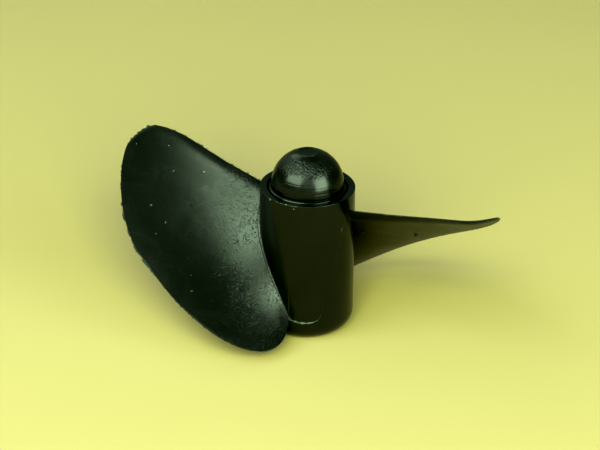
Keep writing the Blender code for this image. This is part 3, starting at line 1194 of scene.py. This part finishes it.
class PROPELLER_OT_parting_ridge(bpy.types.Operator):
    """Builds the whitened ridge that the mould's parting line leaves on the hub"""

    bl_idname = "propeller.parting_ridge"
    bl_label = "Parting ridge"

    def execute(self, context):
        hub, blades = context.scene.propeller_hub, context.scene.propeller_blades
        flash = context.scene.propeller_flash
        steps = np.diff(PARTING_PATH, axis=0)
        steps = np.hypot(steps[:, 0] * MM_PER_DEGREE, steps[:, 1])
        travel = np.concatenate([[0.0], np.cumsum(steps)])
        fine = np.linspace(0.0, travel[-1], RIDGE_STEPS)
        angle, height, half = (smooth_curve(fine, travel, PARTING_PATH[:, k]) for k in range(3))
        points = [hub_surface(hub, a, z * MM) for a, z in zip(angle, height)]
        carrier = point_cloud(
            "ridge_line",
            points,
            numbers={"half_width": np.maximum(half, RIDGE_LEAST) * MM},
            edges=[(i, i + 1) for i in range(len(points) - 1)],
        )
        values = {
            "Count": blades.count,
            "Size": flash.ridge_height,
            "Spacing": RIDGE_SPACING * MM,
            "Raggedness": RIDGE_STRAY * MM,
            "Material": flash_material(),
        }
        piece = grow("parting_ridge", carrier, ridge_tree(), values)
        smooth(piece)
        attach(piece, "root")
        return {"FINISHED"}


def blade_outline(form):
    """Points along a blade's edge, from its upper root round the tip to its lower root, with the
    directions out of the edge and along it, and how far along the edge each point is."""
    radii = form.radii(OUTLINE_STEPS)[2:]
    middle = form.middle(radii, np.array([0.0, 0.02, 0.98, 1.0]))
    points = np.concatenate([middle[:, 0], middle[-2::-1, 3]])
    inside = np.concatenate([middle[:, 1], middle[-2::-1, 2]])
    # At the tip the edges meet, and the point inside is on the upper edge a few rows back.
    inside[len(radii) - 1] = middle[-6, 1]
    out = unit(points - inside)
    along = unit(np.gradient(points, axis=0))
    out -= along * (out * along).sum(-1, keepdims=True)
    steps = np.linalg.norm(np.diff(points, axis=0), axis=-1)
    return points, out, along, np.concatenate([[0.0], np.cumsum(steps)])


def resampled(values, travel, at):
    return np.stack([np.interp(at, travel, values[:, k]) for k in range(values.shape[1])], axis=-1)


class PROPELLER_OT_edge_flash(bpy.types.Operator):
    """Builds the torn flash along the blades' edges and the front rim"""

    bl_idname = "propeller.edge_flash"
    bl_label = "Edge flash"

    def execute(self, context):
        hub, blades = context.scene.propeller_hub, context.scene.propeller_blades
        flash = context.scene.propeller_flash
        points, out, along, travel = blade_outline(BladeForm(blades))
        at = np.arange(0.0, travel[-1], BURR_SPACING * MM)
        points, out, along = (resampled(values, travel, at) for values in (points, out, along))
        part = at / travel[-1]
        size = BURR_SIZE + BURR_SWELL * np.sin(part * BURR_WAVES) ** 2
        size += ROOT_EXTRA * (part > ROOT_STARTS)
        radial = np.hypot(points[:, 0], points[:, 1]) / MM
        tip = radial.argmax()
        ragged = (radial > RAGGED_RADII[0]) & (radial < RAGGED_RADII[1]) & (part > part[tip])
        size[ragged] *= RAGGED_GROWTH
        size[np.argmin(np.abs(radial[:tip] - NIB_RADIUS))] = NIB_SIZE

        turns = np.radians(np.arange(*RIM_ANGLES))
        cos, sin, none = np.cos(turns), np.sin(turns), 0 * turns
        rim = hub.front_radius - RIM_INSET * MM
        rim_height = hub.height - RIM_BELOW * MM + none
        rim_points = np.stack([rim * cos, rim * sin, rim_height], axis=-1)
        rim_out = np.stack([cos, sin, RIM_TILT + none], axis=-1)
        rim_along = np.stack([-sin, cos, none], axis=-1)
        carrier = point_cloud(
            "edge_points",
            np.concatenate([points, rim_points]),
            vectors={
                "out": np.concatenate([out, rim_out]),
                "along": np.concatenate([along, rim_along]),
            },
            numbers={"size": np.concatenate([size, RIM_BURR_SIZE + none])},
        )
        values = {
            "Count": blades.count,
            "Length": flash.burr_length,
            "Share": flash.burr_share,
            "Seed": flash.seed,
            "Material": flash_material(),
        }
        piece = grow("edge_burrs", carrier, burr_tree(), values)
        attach(piece, "root")
        return {"FINISHED"}


class PROPELLER_OT_specks(bpy.types.Operator):
    """Scatters loose specks and crumbs over the hub and blades"""

    bl_idname = "propeller.specks"
    bl_label = "Specks"

    def execute(self, context):
        hub, flash = context.scene.propeller_hub, context.scene.propeller_flash
        form = BladeForm(context.scene.propeller_blades)
        crumbs = []
        for radius, angle, long, wide, turn in CRUMBS:
            point, normal = form.face_point(radius * MM, angle, True)
            radial = outward(angle)
            radial = unit(radial - normal * (radial @ normal))
            turn = math.radians(turn)
            along = radial * math.cos(turn) + np.cross(normal, radial) * math.sin(turn)
            crumbs.append((point, normal, along, long, wide))
        for angle, below, long, wide in HUB_FLECKS:
            radial = outward(angle)
            point = radial * hub.front_radius + UP * (hub.height - below * MM)
            crumbs.append((point, radial, UP, long, wide))
        points, out, along, longs, wides = zip(*crumbs)
        shapes = [
            (long * MM, wide * MM, min(long, wide) * MM * CRUMB_THICKNESS)
            for long, wide in zip(longs, wides)
        ]
        carrier = point_cloud("crumb_points", points, {"out": out, "along": along, "shape": shapes})
        values = {
            "Surface": bpy.data.objects["hub_and_blades"],
            "Density": flash.speck_density * CM2_IN_M2,
            "Size": flash.speck_size,
            "Seed": flash.seed,
            "Material": dust_material(),
        }
        piece = grow("dust_specks", carrier, speck_tree(), values)
        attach(piece, "root")
        return {"FINISHED"}


def softbox(name, studio):
    """A large soft light that faces the object, set up from its name's row and its power."""
    azimuth, elevation, width, height = SOFTBOXES[name]
    light = bpy.data.lights.new(name, "AREA")
    light.shape = "RECTANGLE"
    light.size = width
    light.size_y = height
    light.energy = getattr(studio, name.split("_")[0] + "_power")
    light.color = studio.tint
    lamp = bpy.data.objects.new(name, light)
    bpy.context.scene.collection.objects.link(lamp)
    turn, rise = math.radians(azimuth), math.radians(elevation)
    back = Vector(
        (math.cos(rise) * math.sin(turn), -math.cos(rise) * math.cos(turn), math.sin(rise))
    )
    lamp.location = back * SOFTBOX_DISTANCE + Vector((0.0, 0.0, AIM_HEIGHT))
    lamp.rotation_euler = back.to_track_quat("Z", "Y").to_euler()
    return lamp


class PROPELLER_OT_studio(bpy.types.Operator):
    """Builds the plain pale floor, the soft lights and the camera"""

    bl_idname = "propeller.studio"
    bl_label = "Studio"

    def execute(self, context):
        scene, studio = context.scene, context.scene.propeller_studio
        bm = bmesh.new()
        bmesh.ops.create_grid(bm, x_segments=1, y_segments=1, size=FLOOR_REACH)
        bmesh.ops.translate(bm, verts=bm.verts, vec=(0.0, 0.0, -FLOOR_GAP * MM))
        floor = add_object("floor", bm, floor_material())

        lamps = {name: softbox(name, studio) for name in SOFTBOXES}
        # The fill only lightens the floor and its shadow, and isn't mirrored in the glossy plastic.
        fill = lamps["fill"]
        fill.visible_glossy = False
        fill.data.color = studio.bounce
        fill.light_linking.receiver_collection = bpy.data.collections.new("filled")
        fill.light_linking.receiver_collection.objects.link(floor)
        scene.world = bpy.data.worlds.new("room")
        scene.world.use_nodes = True
        background = scene.world.node_tree.nodes["Background"]
        background.inputs["Color"].default_value = (*studio.tint, 1.0)
        background.inputs["Strength"].default_value = studio.world

        view = scene.view_settings
        view.view_transform = "Standard"
        view.gamma = 1.0 / studio.contrast
        view.use_curve_mapping = True
        view.curve_mapping.black_level = (studio.black_level,) * 3
        view.curve_mapping.update()

        camera = bpy.data.objects.new("camera", bpy.data.cameras.new("camera"))
        scene.collection.objects.link(camera)
        camera.data.sensor_width = CAMERA_SENSOR
        camera.data.lens = CAMERA_LENS
        camera.data.clip_start, camera.data.clip_end = CAMERA_CLIP
        camera.matrix_world = (
            Matrix.Translation(CAMERA_PLACE)
            @ Matrix.Rotation(-CAMERA_YAW, 4, "Z")
            @ Matrix.Rotation(math.pi / 2 - CAMERA_PITCH, 4, "X")
            @ Matrix.Rotation(CAMERA_ROLL, 4, "Z")
        )
        scene.camera = camera
        return {"FINISHED"}


GROUPS = {
    "propeller_hub": PropellerHub,
    "propeller_blades": PropellerBlades,
    "propeller_cap": PropellerCap,
    "propeller_flash": PropellerFlash,
    "propeller_finish": PropellerFinish,
    "propeller_studio": PropellerStudio,
}

OPERATORS = (
    PROPELLER_OT_moulding,
    PROPELLER_OT_nose_cap,
    PROPELLER_OT_parting_ridge,
    PROPELLER_OT_edge_flash,
    PROPELLER_OT_specks,
    PROPELLER_OT_studio,
)


class PROPELLER_PT_panel(bpy.types.Panel):
    bl_label = "Propeller"
    bl_idname = "PROPELLER_PT_panel"
    bl_space_type = "VIEW_3D"
    bl_region_type = "UI"
    bl_category = "Propeller"

    def draw(self, context):
        for name, group in GROUPS.items():
            box = self.layout.box()
            box.label(text=group.__name__.removeprefix("Propeller"))
            for label in group.__annotations__:
                box.prop(getattr(context.scene, name), label)
        for operator in OPERATORS:
            self.layout.operator(operator.bl_idname)


def register():
    for name, group in GROUPS.items():
        bpy.utils.register_class(group)
        setattr(bpy.types.Scene, name, PointerProperty(type=group))
    for operator in OPERATORS:
        bpy.utils.register_class(operator)
    bpy.utils.register_class(PROPELLER_PT_panel)


def unregister():
    bpy.utils.unregister_class(PROPELLER_PT_panel)
    for operator in reversed(OPERATORS):
        bpy.utils.unregister_class(operator)
    for name, group in reversed(GROUPS.items()):
        delattr(bpy.types.Scene, name)
        bpy.utils.unregister_class(group)


def main():
    register()
    bpy.ops.propeller.moulding()
    bpy.ops.propeller.nose_cap()
    bpy.ops.propeller.parting_ridge()
    bpy.ops.propeller.edge_flash()
    bpy.ops.propeller.specks()
    bpy.ops.propeller.studio()


if __name__ == "__main__":
    main()
